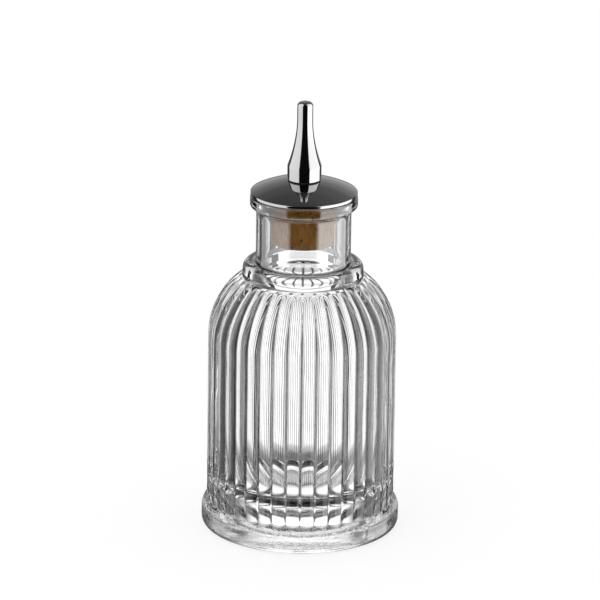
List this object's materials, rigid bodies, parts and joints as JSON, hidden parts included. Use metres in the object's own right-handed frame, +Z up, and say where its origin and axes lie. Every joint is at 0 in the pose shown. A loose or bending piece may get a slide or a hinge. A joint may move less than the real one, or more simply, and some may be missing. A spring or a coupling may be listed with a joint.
{
  "type": "bitters bottle",
  "caption": "Reeded glass bottle with a heavy base and a cork stopper that carries a domed metal cover and a slim pouring spout, for dashing small amounts of liquid.",
  "frame": {"origin": "centre of the base, on the surface that the bottle stands on", "axes": "+Z up along the axis of the bottle, -Y towards the front; a crease between two reeds faces -Y"},
  "size_m": [0.0632, 0.0632, 0.1408],
  "materials": {
    "clear_glass": "clear, fire polished",
    "cork": "natural cork with open pores",
    "polished_metal": "mirror polished",
    "stem_metal": "turned",
    "seal_rubber": "matt",
    "reducer_plastic": "natural polyethylene"
  },
  "bodies": {
    "bottle": {"glass_bottle": "clear_glass"},
    "stopper": {"cork_stopper": "cork", "cover_disc": "polished_metal", "spout_seal": "seal_rubber", "dasher_spout": "polished_metal", "stem_tube": "stem_metal", "dash_reducer": "reducer_plastic"}
  },
  "joints": [
    {"name": "stopper_lift", "type": "slide", "parent": "bottle", "child": "stopper", "axis": [0, 0, 1], "range_m": [0, 0.04]}
  ]
}
